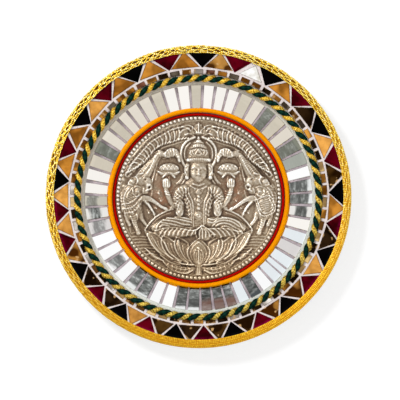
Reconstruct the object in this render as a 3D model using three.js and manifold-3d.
// A round decorative plate: a pressed steel dish dressed with mirror strips, coloured glass
// mosaic, cords, gold lace and an embossed silver medallion.
// Millimetres, +Z up, origin at the centre of the flat underside, +Y at the top of the picture
// on the medallion.
import * as THREE from "three";
import { mergeVertices } from "three/addons/utils/BufferGeometryUtils.js";
import Module from "manifold-3d";

const wasm = await Module();
wasm.setup();

const degrees = THREE.MathUtils.degToRad;
const fullTurn = 2 * Math.PI;

// Driving dimensions, from the middle of the plate outwards

const seat = 0.3; // glue line between two pieces that lie on each other

// Medallion: an embossed silver sheet on a packing disc
const medallionRadius = 68.9;
const medallionThickness = 0.8;
const coreThickness = 3.2;
const coreInset = 2.4; // how far the packing disc stays inside the sheet's edge
const beadCount = 121;
const beadRadius = 1.5;
const beadRise = 0.8;
const beadInset = 1.7; // middle of the beads from the sheet's edge

// Cords
const redCordRadius = 1.25;
const orangeCordRadius = 1.75;
const ropeRadius = 2.75;
const cordSides = 6; // flats round a cord

// Mirror strips on the sloping terrace, set in white cement
const stripCount = 51;
const stripLength = 21.4;
const stripThickness = 1.8;
const stripInnerJoint = 1.8; // cement between two strips at their inner ends
const stripOuterJoint = 2.5; // and at their outer ends
const stripTuck = 0.6; // how far the strips reach in under the middle of the orange cord
const stripLean = degrees(0.7); // how far hand setting tips a strip
const stripPlay = 0.2; // slack of a strip in its bed of cement
const wellBedding = 0.5; // cement under the strips
const jointDepth = 0.4; // how far cement stays below the glass beside it
const ledgeRise = 1.9; // cement under the red cord, over the dish's floor

// Steel dish: a flat floor, the terrace, a steep wall and a wide brim with a rolled edge
const roundSides = 40; // flats on every turned piece
const steelThickness = 1.0;
const terraceMargin = 1.2; // terrace inside the strips' inner ends
const terraceSlope = degrees(11);
const wallMargin = 1.6; // terrace outside the strips' outer ends
const wallRun = 2.2;
const wallRise = 7.2;
const brimSlope = degrees(7);
const rolledEdgeRadius = 1.4;
const bendSize = 1.8; // how far from a bend of the sheet its rounding starts
const ropeOverhang = 0.35; // how far the rope stands in over the wall

// Glass mosaic on the brim
const tileThickness = 1.8;
const brimBedding = 0.7; // cement under the tiles
const chipCount = 66;
const chipLength = 7.6;
const chipWidth = 3.0;
const chipMargin = 0.5; // cement between the rope and the chips
const chipJoint = 1.4; // cement between the chips and the triangles
const trianglePairs = 27;
const triangleDepth = 13.3;
const triangleJoint = 1.5; // cement between two triangles, measured along the rim
const bluntTip = 2.2; // width of the outer end of a triangle that points outwards
const mosaicMargin = 1.05; // cement outside the triangles
const brimMargin = 1.35; // bare steel between the cement and the rolled edge

// Gold lace over the edge of the brim
const laceOverlap = 1.55; // how far it reaches in over the triangles
const laceThickness = 1.3;
const laceDrop = 3; // how far it hangs down outside the rolled edge

// Radii that follow from them

const coreRadius = medallionRadius - coreInset;
const beadRingRadius = medallionRadius - beadInset;
const redRingRadius = medallionRadius + seat + redCordRadius;
const orangeRingRadius = redRingRadius + redCordRadius + seat + orangeCordRadius;
const stripInnerRadius = orangeRingRadius - stripTuck;
const stripOuterRadius = stripInnerRadius + stripLength * Math.cos(terraceSlope);
const floorRadius = stripInnerRadius - terraceMargin;
const wallFootRadius = stripOuterRadius + wallMargin;
const wallTopRadius = wallFootRadius + wallRun;
const ropeRingRadius = wallTopRadius + ropeRadius - ropeOverhang;
const mosaicInnerRadius = ropeRingRadius + ropeRadius + seat;
const chipInnerRadius = mosaicInnerRadius + chipMargin;
const chipOuterRadius = chipInnerRadius + chipWidth;
const triangleInnerRadius = chipOuterRadius + chipJoint;
const triangleOuterRadius = triangleInnerRadius + triangleDepth;
const mosaicOuterRadius = triangleOuterRadius + mosaicMargin;
const brimRadius = mosaicOuterRadius + brimMargin;
const laceInnerRadius = triangleOuterRadius - laceOverlap;
const laceOuterRadius = brimRadius + rolledEdgeRadius + seat + laceThickness;

// Materials

const finish = (color, roughness, metalness) =>
  new THREE.MeshStandardMaterial({ color, roughness, metalness });

const polishedSteel = finish(0xc9cac8, 0.18, 1);
const cement = finish(0xd8ccd2, 0.9, 0);
const mirror = finish(0xe8e8e4, 0.04, 1);
const amberGlass = finish(0xc9822c, 0.08, 0.6);
const goldLace = finish(0xe5b52f, 0.35, 0.8);
const twistedThread = finish(0x14462f, 0.7, 0);
const orangeSatin = finish(0xff9a08, 0.5, 0);
const redSatin = finish(0xb20a08, 0.5, 0);
const embossedSilver = finish(0xcfc8bd, 0.32, 1);
const pressedBoard = finish(0x8a6a48, 0.9, 0);

// Shared operations

function solidFrom(geometry) {
  const bare = geometry.clone();
  bare.deleteAttribute("normal");
  bare.deleteAttribute("uv");
  const merged = mergeVertices(bare, 1e-4);
  return new wasm.Manifold(
    new wasm.Mesh({
      numProp: 3,
      vertProperties: merged.attributes.position.array,
      triVerts: new Uint32Array(merged.index.array),
    }),
  );
}

function geometryFrom(solid) {
  const { vertProperties, triVerts } = solid.getMesh();
  const geometry = new THREE.BufferGeometry();
  geometry.setAttribute("position", new THREE.BufferAttribute(vertProperties, 3));
  geometry.setIndex(new THREE.BufferAttribute(triVerts, 1));
  return geometry;
}

function fuse(solids) {
  return solids.reduce((whole, next) => whole.add(next));
}

function part(name, geometry, material) {
  const mesh = new THREE.Mesh(geometry, material);
  mesh.name = name;
  return mesh;
}

// Turns a profile of [radius, height] points, listed from the underside round to the top.
function revolve(profile, closed = false) {
  const points = profile.map(([radius, height]) => new THREE.Vector2(radius, height));
  if (closed) points.push(points[0].clone());
  return new THREE.LatheGeometry(points, roundSides).rotateX(Math.PI / 2);
}

// The flat that rounds a bend of the sheet
function bend(before, corner, after) {
  const middle = new THREE.Vector2(...corner);
  return [before, after].map((end) => {
    const start = new THREE.Vector2(...end).sub(middle).setLength(bendSize).add(middle);
    return [start.x, start.y];
  });
}

// A profile set off square to itself: below it if the distance is negative, or above it.
function offset(profile, distance) {
  return profile.map((here, i) => {
    const [ax, ay] = profile[Math.max(i - 1, 0)];
    const [bx, by] = profile[Math.min(i + 1, profile.length - 1)];
    const length = Math.hypot(bx - ax, by - ay);
    const radius = here[0] === 0 ? 0 : here[0] - (distance * (by - ay)) / length;
    return [radius, here[1] + (distance * (bx - ax)) / length];
  });
}

// Steel dish

const terraceHeight = (radius) =>
  steelThickness + (radius - floorRadius) * Math.tan(terraceSlope);
const brimHeight = (radius) =>
  terraceHeight(wallFootRadius) + wallRise + (radius - wallTopRadius) * Math.tan(brimSlope);

const floorEdge = [floorRadius, steelThickness];
const wallFoot = [wallFootRadius, terraceHeight(wallFootRadius)];
const wallTop = [wallTopRadius, brimHeight(wallTopRadius)];
const brimEdge = [brimRadius, brimHeight(brimRadius)];
const steelFace = [
  [0, steelThickness],
  floorEdge,
  ...bend(floorEdge, wallFoot, wallTop),
  ...bend(wallFoot, wallTop, brimEdge),
  brimEdge,
];

function steelDish() {
  const under = offset(steelFace, -steelThickness);
  const joinRadius = brimRadius - rolledEdgeRadius - steelThickness / 2;
  under[under.length - 1] = [joinRadius, brimHeight(joinRadius) - steelThickness];
  under[0][1] = 0;
  under[1][1] = 0;
  const rollSteps = 3;
  const rollTurn = degrees(240);
  const rollCentre = brimHeight(brimRadius) - rolledEdgeRadius;
  const roll = [];
  for (let i = rollSteps; i > 0; i--) {
    const turn = Math.PI / 2 - (i / rollSteps) * rollTurn;
    roll.push([
      brimRadius + rolledEdgeRadius * Math.cos(turn),
      rollCentre + rolledEdgeRadius * Math.sin(turn),
    ]);
  }
  const profile = [...under, ...roll, ...steelFace.toReversed()];
  return part("steel_plate", revolve(profile), polishedSteel);
}

// Mirror strips

const stripLift = (2 * seat + wellBedding) / Math.cos(terraceSlope); // over the steel

// A repeatable number from -1 to 1 that differs from piece to piece, as hand setting does.
function handSet(index, salt) {
  const mixed = Math.sin(index * 12.9898 + salt * 78.233) * 43758.5453;
  return 2 * (mixed - Math.floor(mixed)) - 1;
}

function stripBlank(play) {
  const halfPitch = Math.tan(Math.PI / stripCount);
  const inner = stripInnerRadius * halfPitch - stripInnerJoint / 2 + play;
  const outer = stripOuterRadius * halfPitch - stripOuterJoint / 2 + play;
  const outline = new THREE.Shape([
    new THREE.Vector2(inner, -play),
    new THREE.Vector2(outer, stripLength + play),
    new THREE.Vector2(-outer, stripLength + play),
    new THREE.Vector2(-inner, -play),
  ]);
  const depth = stripThickness + 2 * play;
  const blank = new THREE.ExtrudeGeometry(outline, { depth, bevelEnabled: false });
  return blank.translate(0, 0, -play);
}

// Where a strip's middle stands, anticlockwise from the top of the picture. The strips are cut
// alike, and the setter closed up their joints on two sides of the ring and opened them between.
function stripAngle(index) {
  const even = (index / stripCount) * fullTurn;
  const sway = 0.53 * Math.cos(even) - 0.51 * Math.sin(even) - 1.09 * Math.sin(2 * even);
  return even + degrees(0.96 + sway);
}

function mirrorStrips() {
  const ring = new THREE.Group();
  const blank = stripBlank(0);
  for (let i = 0; i < stripCount; i++) {
    const place = new THREE.Group();
    place.rotation.z = stripAngle(i);
    const strip = part(`mirror_strip_${String(i + 1).padStart(2, "0")}`, blank, mirror);
    strip.position.set(0, stripInnerRadius, terraceHeight(stripInnerRadius) + stripLift);
    strip.rotation.x = terraceSlope + stripLean * 0.5 * (1 + handSet(i, 1));
    strip.rotation.y = stripLean * handSet(i, 2);
    place.add(strip);
    ring.add(place);
  }
  ring.updateMatrixWorld(true);
  return ring;
}

// The cement lies on the terrace, fills the joints between the strips and makes the ledge on
// which the red cord rests.
function wellGrout(strips) {
  const [, floor, foot, wall] = offset(steelFace, seat);
  const fill = stripLift + (stripThickness - jointDepth) / Math.cos(terraceSlope);
  const fillTop = terraceHeight(wallFootRadius) + fill;
  const wallShare = (fillTop - wall[1]) / wallRise;
  const ledgeInner = coreRadius + 2 * seat;
  const ledgeOuter = orangeRingRadius - orangeCordRadius;
  const profile = [
    [ledgeInner, steelThickness + seat],
    [floor[0], steelThickness + seat],
    foot,
    wall,
    [wall[0] + wallShare * wallRun, fillTop],
    [ledgeOuter, terraceHeight(ledgeOuter) + fill],
    [ledgeOuter, steelThickness + ledgeRise],
    [ledgeInner, steelThickness + ledgeRise],
  ];
  const pocket = stripBlank(stripPlay);
  const pockets = [];
  strips.traverse((strip) => {
    if (strip.isMesh) pockets.push(solidFrom(pocket.clone().applyMatrix4(strip.matrixWorld)));
  });
  const bed = solidFrom(revolve(profile, true)).subtract(fuse(pockets));
  return part("well_grout", geometryFrom(bed), cement);
}

// Glass mosaic on the brim

const glassTop = (seat + brimBedding + tileThickness) / Math.cos(brimSlope); // over the steel

// Lays an outline, drawn with x along the rim and y away from the centre, on the brim.
function brimTile(outline, angle) {
  const corners = outline.map(([x, y]) => new THREE.Vector2(x, y - triangleInnerRadius));
  const shape = new THREE.Shape(corners);
  const tile = new THREE.ExtrudeGeometry(shape, { depth: tileThickness, bevelEnabled: false });
  const bottom = brimHeight(triangleInnerRadius) + glassTop - tileThickness / Math.cos(brimSlope);
  tile.rotateX(brimSlope).translate(0, triangleInnerRadius, bottom);
  return solidFrom(tile.rotateZ(angle));
}

// Where a triangle's inner tip stands, anticlockwise from the top of the picture. The setter's
// spacing drifts: wide over the top of the plate, tight at its foot.
function triangleAngle(step) {
  const even = (step / trianglePairs) * fullTurn;
  const drift = degrees(7.35 - 5.6 * Math.cos(even) + 2.2 * Math.sin(even));
  return even + drift - fullTurn / 4;
}

function trianglePair(step) {
  const here = triangleAngle(step);
  const half = (triangleAngle(step + 1) - here) / 2;
  const side = triangleOuterRadius * Math.sin(half) - triangleJoint - bluntTip / 2;
  const foot = triangleInnerRadius * Math.sin(half) - triangleJoint;
  const pointingIn = [
    [0, triangleInnerRadius],
    [side, triangleOuterRadius],
    [-side, triangleOuterRadius],
  ];
  const pointingOut = [
    [-foot, triangleInnerRadius],
    [foot, triangleInnerRadius],
    [bluntTip / 2, triangleOuterRadius],
    [-bluntTip / 2, triangleOuterRadius],
  ];
  return [brimTile(pointingIn, here), brimTile(pointingOut, here + half)];
}

function rimMosaic() {
  const bedTop = glassTop - jointDepth;
  const profile = [
    [mosaicInnerRadius, brimHeight(mosaicInnerRadius) + seat],
    [mosaicOuterRadius, brimHeight(mosaicOuterRadius) + seat],
    [mosaicOuterRadius, brimHeight(mosaicOuterRadius) + bedTop],
    [mosaicInnerRadius, brimHeight(mosaicInnerRadius) + bedTop],
  ];
  const tiles = [];
  for (let i = 0; i < trianglePairs; i++) tiles.push(...trianglePair(i));
  const chip = [
    [-chipLength / 2, chipInnerRadius],
    [chipLength / 2, chipInnerRadius],
    [chipLength / 2, chipOuterRadius],
    [-chipLength / 2, chipOuterRadius],
  ];
  for (let i = 0; i < chipCount; i++) tiles.push(brimTile(chip, (i / chipCount) * fullTurn));
  const bed = solidFrom(revolve(profile, true));
  return part("rim_mosaic", geometryFrom(bed.add(fuse(tiles))), amberGlass);
}

// Cords

// A cord glued down in a ring. It lies on a flat of its section, at the height of its seat.
function cordRing(name, ringRadius, radius, sides, seatHeight, material) {
  const height = seatHeight + seat + radius * Math.cos(Math.PI / sides);
  const section = [];
  for (let i = 0; i < sides; i++) {
    const turn = ((i + 0.5) / sides - 0.25) * fullTurn;
    section.push([ringRadius + radius * Math.cos(turn), height + radius * Math.sin(turn)]);
  }
  return part(name, revolve(section, true), material);
}

function cords() {
  const ledge = steelThickness + ledgeRise;
  const glassEdge = orangeRingRadius + orangeCordRadius / 2;
  const glass = terraceHeight(glassEdge) + stripLift + stripThickness / Math.cos(terraceSlope);
  const brim = brimHeight(ropeRingRadius + ropeRadius / 2);
  return [
    cordRing("red_cord", redRingRadius, redCordRadius, cordSides, ledge, redSatin),
    cordRing("orange_cord", orangeRingRadius, orangeCordRadius, cordSides, glass, orangeSatin),
    cordRing("twisted_rope", ropeRingRadius, ropeRadius, cordSides, brim, twistedThread),
  ];
}

// Lace

function laceTrim() {
  const onGlass = (radius) => brimHeight(radius) + glassTop + seat;
  const onSteel = brimHeight(brimRadius) + seat;
  const step = mosaicOuterRadius + seat;
  const wrapRadius = brimRadius + rolledEdgeRadius + seat;
  const crown = onGlass(brimRadius) + laceThickness;
  const hem = onSteel - laceDrop;
  const half = laceThickness / 2;
  const profile = [
    [wrapRadius, hem],
    [laceOuterRadius, hem],
    [laceOuterRadius, crown - laceThickness],
    [brimRadius + half, crown],
    [laceInnerRadius + half, onGlass(laceInnerRadius) + laceThickness],
    [laceInnerRadius, onGlass(laceInnerRadius)],
    [step, onGlass(step)],
    [step, onSteel],
    [wrapRadius, onSteel],
  ];
  return part("lace_trim", revolve(profile, true), goldLace);
}

// Medallion

function packingDisc() {
  const low = steelThickness + seat;
  const disc = revolve([
    [0, low],
    [coreRadius, low],
    [coreRadius, low + coreThickness],
    [0, low + coreThickness],
  ]);
  return part("packing_disc", disc, pressedBoard);
}

// The picture is raised from the sheet as rounded forms. They are drawn from the middle of the
// medallion, x to the right and y up, and each has its own height over the ground.
const rooting = medallionThickness / 2; // how deep a form is rooted in the sheet
const drawnRadius = 65.5; // the circle that the picture is drawn to fill
const ridgeWidth = 3; // below this width a form along a curve comes to a ridge

// A domed form on an ellipse that may be turned anticlockwise by some degrees.
function boss(x, y, halfWidth, halfHeight, height, turned = 0) {
  const sides = halfWidth > 6 ? 8 : 6;
  const profile = [
    new THREE.Vector2(0, -rooting),
    new THREE.Vector2(1, -rooting),
    new THREE.Vector2(0.78, 0.62 * height),
    new THREE.Vector2(0, height),
  ];
  const dome = new THREE.LatheGeometry(profile, sides).rotateX(Math.PI / 2);
  return dome.scale(halfWidth, halfHeight, 1).rotateZ(degrees(turned)).translate(x, y, 0);
}

// A form along a curve, with a round back or, where it is thin, a ridge. Each point is
// [x, y, width], and where the form is narrower it is lower too.
function limb(points, height) {
  const curve = new THREE.CatmullRomCurve3(points.map((p) => new THREE.Vector3(...p)));
  const widest = Math.max(...points.map((p) => p[2]));
  const steps = Math.max(points.length - 1, 3);
  const back = widest < ridgeWidth ? [[0, 1]] : [[-0.36, 0.72], [0, 1], [0.36, 0.72]];
  const section = [[-0.5, 0], ...back, [0.5, 0]];
  const positions = [];
  for (let i = 0; i <= steps; i++) {
    const { x, y, z: width } = curve.getPoint(i / steps);
    const along = curve.getTangent(i / steps).setZ(0).normalize();
    const top = height * Math.sqrt(width / widest);
    for (const [share, raised] of section) {
      const rise = raised * (top + rooting) - rooting;
      positions.push(x - share * width * along.y, y + share * width * along.x, rise);
    }
  }
  const sides = section.length;
  const faces = [];
  for (let i = 0; i < steps; i++) {
    for (let k = 0; k < sides; k++) {
      const here = i * sides + k;
      const beside = i * sides + ((k + 1) % sides);
      faces.push(here, here + sides, beside, beside, here + sides, beside + sides);
    }
  }
  for (let k = 1; k < sides - 1; k++) {
    faces.push(0, k, k + 1);
    faces.push(steps * sides, steps * sides + k + 1, steps * sides + k);
  }
  const form = new THREE.BufferGeometry();
  form.setAttribute("position", new THREE.Float32BufferAttribute(positions, 3));
  return form.setIndex(faces);
}

// The form itself and its mirror image on the other side of the picture
function pair(form) {
  const image = form.clone().scale(-1, 1, 1);
  const corners = image.index ? Array.from(image.index.array) : [];
  for (let i = 0; i < corners.length; i += 3) {
    [corners[i], corners[i + 1]] = [corners[i + 1], corners[i]];
  }
  return [form, image.setIndex(corners)];
}

// An arc round a centre as points of one width
function arch(x, y, radius, from, to, width) {
  const count = 7;
  return Array.from({ length: count }, (_, i) => {
    const turn = degrees(from + ((to - from) * i) / (count - 1));
    return [x + radius * Math.cos(turn), y + radius * Math.sin(turn), width];
  });
}

function headAndCrown() {
  return [
    limb(arch(0, 36, 14.3, -40, 220, 2.4), 1.2),
    boss(0, 21.5, 7.2, 8.6, 3.2),
    boss(0, 31.4, 9.6, 2.2, 3),
    boss(0, 38.4, 8, 6.4, 2.9),
    boss(0, 46, 4.6, 3.2, 2.2),
    boss(0, 50.2, 2.2, 2.6, 1.7),
    ...pair(boss(9, 21.5, 2.4, 5, 1.9)),
  ];
}

function bodyAndArms() {
  return [
    boss(0, 12, 4.6, 3.6, 2.2),
    limb([[-19, 2, 7], [-11, 7.6, 9], [0, 7, 10], [11, 7.6, 9], [19, 2, 7]], 2.7),
    boss(0, -2, 12.6, 12, 2.6),
    boss(0, -14, 9.4, 10, 2.5),
    boss(0, -15.3, 2.8, 2.8, 3.2),
    ...pair(limb([[5.2, 9, 1.4], [4.4, -6, 1.4], [4, -21, 1.4]], 3.1)),
    ...pair(limb([[18.4, 4, 7.6], [19, -3, 7], [15.6, -10, 6]], 2.8)),
    ...pair(boss(15.7, -9, 3.9, 7, 3.1)),
    ...pair(limb([[20, -3, 5], [24.6, 2.6, 5], [27, 10, 4.4]], 2)),
    ...pair(boss(27.4, 12.8, 4, 4.6, 2.3)),
    ...pair(boss(24.7, 23.7, 8.3, 5.6, 2.4)),
  ];
}

function foldedLegs() {
  return [
    ...pair(limb([[6, -17, 7], [18, -15.6, 10], [30, -18, 9], [38, -25, 4]], 2.6)),
    limb([[-37, -25, 4], [-22, -26.4, 7], [-6, -25.4, 7], [8, -30, 3]], 2.4),
    limb([[37, -26, 4], [26, -27.6, 6], [14, -28.4, 4]], 2.2),
    limb([[2.4, -22, 2], [6, -26.6, 7], [12, -30.6, 3]], 2.9),
  ];
}

function lotusSeat() {
  const waterLines = 2;
  const forms = [
    limb([[0, -56, 5], [0, -46, 17], [0, -39, 12], [0, -34.2, 0.8]], 2.6),
    ...pair(limb([[4, -55, 3], [13, -46, 9], [18.3, -33.7, 0.8]], 2.3)),
    ...pair(limb([[8, -54.4, 3], [23, -45, 9], [30.4, -32, 0.8]], 2)),
    ...pair(limb([[12, -53.6, 3], [32.6, -43.6, 8], [45.6, -27.8, 0.8]], 1.7)),
    ...pair(limb([[25, -10.8, 2], [36.7, -16.6, 2.4], [44, -25.4, 2]], 1.5)),
    limb([[0, -55, 5], [0, -63.4, 6]], 1.8),
    ...pair(limb([[4, -60.6, 2], [14, -58.6, 5], [25, -56, 1]], 1.3)),
  ];
  for (let i = 0; i < waterLines; i++) {
    const y = -33.4 - 3.6 * i;
    forms.push(...pair(limb([[44 - 2.2 * i, y, 1.8], [54 - 2.6 * i, y + 0.6, 1.2]], 1)));
  }
  return forms;
}

function elephants() {
  const forms = [
    boss(53.4, -2.4, 9.4, 12, 2.7, 12),
    boss(42.8, 15, 7, 8.6, 2.9, -20),
    boss(51, 14.6, 4.6, 6.4, 2.3, 15),
    boss(27.4, 36, 4.2, 3.8, 1.8),
    boss(61, 9.6, 2.1, 2.1, 1.2),
    limb([[40, 20, 8], [36.6, 28, 6], [34.6, 36, 5], [29, 40.4, 4.4], [19, 38, 3]], 2.4),
    limb([[44, 2, 6.6], [35, -3, 4.6], [26.4, -9.6, 4]], 2.2),
    limb([[45, -4, 5], [42, -11, 4], [40.4, -18, 3]], 1.4),
    limb([[57, -10, 9], [54, -20, 6.4], [50, -29, 5.4]], 2.4),
    limb([[50, -12, 6], [46.6, -19, 4.6], [45.6, -25, 4]], 1.8),
  ];
  return forms.flatMap(pair);
}

function garland() {
  return [
    boss(0, 58, 5.4, 4.6, 2),
    ...pair(limb([[8, 54.4, 4], [24, 52.4, 8], [41, 43.4, 7.4], [52, 31, 5], [58, 23, 3]], 1.5)),
    ...pair(limb([[8, 49.6, 2.4], [24, 46.4, 2.4], [37, 40, 2.4], [46, 28, 2.4], [57, 20.6, 2]], 1.3)),
  ];
}

function medallion() {
  const low = steelThickness + 2 * seat + coreThickness;
  const ground = low + medallionThickness;
  const disc = revolve([
    [0, low],
    [medallionRadius, low],
    [medallionRadius, ground],
    [0, ground],
  ]);
  const forms = [
    ...headAndCrown(),
    ...bodyAndArms(),
    ...foldedLegs(),
    ...lotusSeat(),
    ...elephants(),
    ...garland(),
  ];
  const fit = (beadRingRadius - beadRadius) / drawnRadius;
  forms.forEach((form) => form.scale(fit, fit, 1));
  for (let i = 0; i < beadCount; i++) {
    const bead = new THREE.OctahedronGeometry(1).scale(beadRadius, beadRadius, beadRise);
    forms.push(bead.translate(beadRingRadius, 0, 0).rotateZ((i / beadCount) * fullTurn));
  }
  const raised = forms.map((form) => solidFrom(form.translate(0, 0, ground)));
  return part("medallion_sheet", geometryFrom(solidFrom(disc).add(fuse(raised))), embossedSilver);
}

// Assembly

const plate = new THREE.Group();
plate.name = "decorative_plate";
const strips = mirrorStrips();
plate.add(steelDish(), wellGrout(strips), strips, rimMosaic(), laceTrim(), ...cords());
plate.add(packingDisc(), medallion());

export default plate;
